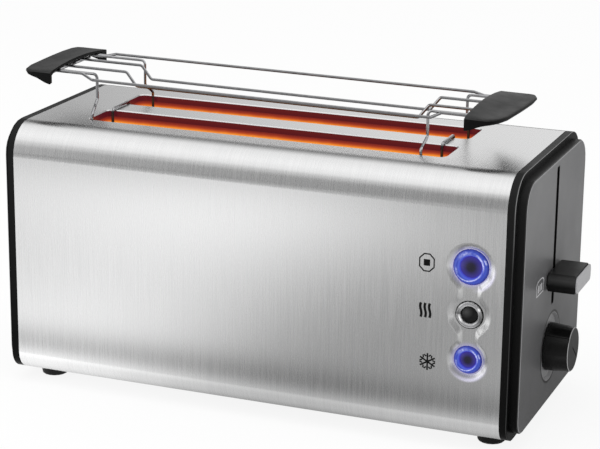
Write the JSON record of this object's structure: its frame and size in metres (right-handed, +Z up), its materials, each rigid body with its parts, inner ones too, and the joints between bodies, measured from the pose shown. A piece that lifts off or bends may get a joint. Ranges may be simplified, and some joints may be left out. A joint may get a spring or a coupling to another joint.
{
  "type": "toaster",
  "caption": "Long-slot toaster with a steel housing, dark end caps, a side lever and dial, lit push buttons, a crumb tray and a lift-off wire bun rack.",
  "frame": {"origin": "on the counter, at the centre of the whole footprint, lever and rack handles included", "axes": "+X towards the end with the lever and the dial, -Y towards the front with the buttons, +Z up"},
  "size_m": [0.4284, 0.172, 0.2364],
  "materials": {
    "housing_steel": "brushed along the housing's depth and height",
    "cap_plastic": "fine satin, dark grey panel with a black flange",
    "black_plastic": "satin black",
    "pale_plastic": "satin pale grey",
    "foot_rubber": "matte black",
    "lit_ring": "clear ring lit blue",
    "clear_ring": "clear ring, unlit",
    "wire_chrome": "polished",
    "sheet_zinc": "zinc-coated sheet",
    "magnet_steel": "dull steel",
    "heater_mica": "mica board with glowing ribbon",
    "board_green": "circuit board"
  },
  "bodies": {
    "toaster_body": {"steel_housing": "housing_steel", "right_end_cap": "cap_plastic", "left_end_cap": "cap_plastic", "base_plate": "sheet_zinc", "foot_front_left": "foot_rubber", "foot_front_right": "foot_rubber", "foot_back_left": "foot_rubber", "foot_back_right": "foot_rubber", "cord_gland": "foot_rubber", "chassis_plate_left": "sheet_zinc", "chassis_plate_right": "sheet_zinc", "front_heat_shield": "sheet_zinc", "back_heat_shield": "sheet_zinc", "front_slot_liner": "sheet_zinc", "back_slot_liner": "sheet_zinc", "heater_front": "heater_mica", "heater_middle_front": "heater_mica", "heater_middle_back": "heater_mica", "heater_back": "heater_mica", "holding_magnet": "magnet_steel", "guide_rod_front": "wire_chrome", "guide_rod_back": "wire_chrome", "dial_potentiometer": "sheet_zinc", "stop_ring": "lit_ring", "reheat_ring": "clear_ring", "defrost_ring": "lit_ring", "switch_carrier": "black_plastic", "control_board": "board_green"},
    "carriage": {"carriage_bracket": "sheet_zinc", "front_bread_shelf": "sheet_zinc", "back_bread_shelf": "sheet_zinc", "armature": "magnet_steel", "return_spring": "wire_chrome", "lever_arm": "sheet_zinc", "lever_knob": "black_plastic", "lever_end_plate": "pale_plastic"},
    "front_guides": {"front_slot_guide_front": "wire_chrome", "back_slot_guide_front": "wire_chrome"},
    "back_guides": {"front_slot_guide_back": "wire_chrome", "back_slot_guide_back": "wire_chrome"},
    "stop_key": {"stop_button": "black_plastic"},
    "reheat_key": {"reheat_button": "black_plastic"},
    "defrost_key": {"defrost_button": "black_plastic"},
    "dial": {"browning_dial": "black_plastic", "dial_shaft": "sheet_zinc"},
    "crumb_tray": {"crumb_tray_pan": "sheet_zinc", "crumb_tray_front": "cap_plastic"},
    "bun_rack": {"rack_rail_front": "wire_chrome", "rack_rail_back": "wire_chrome", "rack_wire_front": "wire_chrome", "rack_wire_back": "wire_chrome", "rack_cross_left": "wire_chrome", "rack_cross_right": "wire_chrome", "rack_leg_left": "wire_chrome", "rack_leg_right": "wire_chrome", "rack_handle_left": "black_plastic", "rack_handle_right": "black_plastic"}
  },
  "joints": [
    {"name": "carriage_lift", "type": "slide", "parent": "toaster_body", "child": "carriage", "axis": [0, 0, 1], "range_m": [0, 0.073], "deforming": ["return_spring"]},
    {"name": "front_guides_open", "type": "slide", "parent": "toaster_body", "child": "front_guides", "axis": [0, -1, 0], "range_m": [0, 0.0035]},
    {"name": "back_guides_open", "type": "slide", "parent": "toaster_body", "child": "back_guides", "axis": [0, 1, 0], "range_m": [0, 0.0035]},
    {"name": "stop_press", "type": "slide", "parent": "toaster_body", "child": "stop_key", "axis": [0, 1, 0], "range_m": [0, 0.0014], "stiffness_N_per_m": 400, "springref_m": -0.0008},
    {"name": "reheat_press", "type": "slide", "parent": "toaster_body", "child": "reheat_key", "axis": [0, 1, 0], "range_m": [0, 0.0014], "stiffness_N_per_m": 400, "springref_m": -0.0008},
    {"name": "defrost_press", "type": "slide", "parent": "toaster_body", "child": "defrost_key", "axis": [0, 1, 0], "range_m": [0, 0.0014], "stiffness_N_per_m": 400, "springref_m": -0.0008},
    {"name": "browning_turn", "type": "hinge", "parent": "toaster_body", "child": "dial", "pos_m": [0.19005, 0, 0.056], "axis": [1, 0, 0], "range_deg": [-10, 260]},
    {"name": "tray_pull", "type": "slide", "parent": "toaster_body", "child": "crumb_tray", "axis": [-1, 0, 0], "range_m": [0, 0.28]},
    {"name": "rack_lift", "type": "slide", "parent": "toaster_body", "child": "bun_rack", "axis": [0, 0, 1], "range_m": [0, 0.1]}
  ],
  "couplings": [
    {"joint": "front_guides_open", "follows": "carriage_lift", "ratio": 0.0479},
    {"joint": "back_guides_open", "follows": "carriage_lift", "ratio": 0.0479}
  ]
}
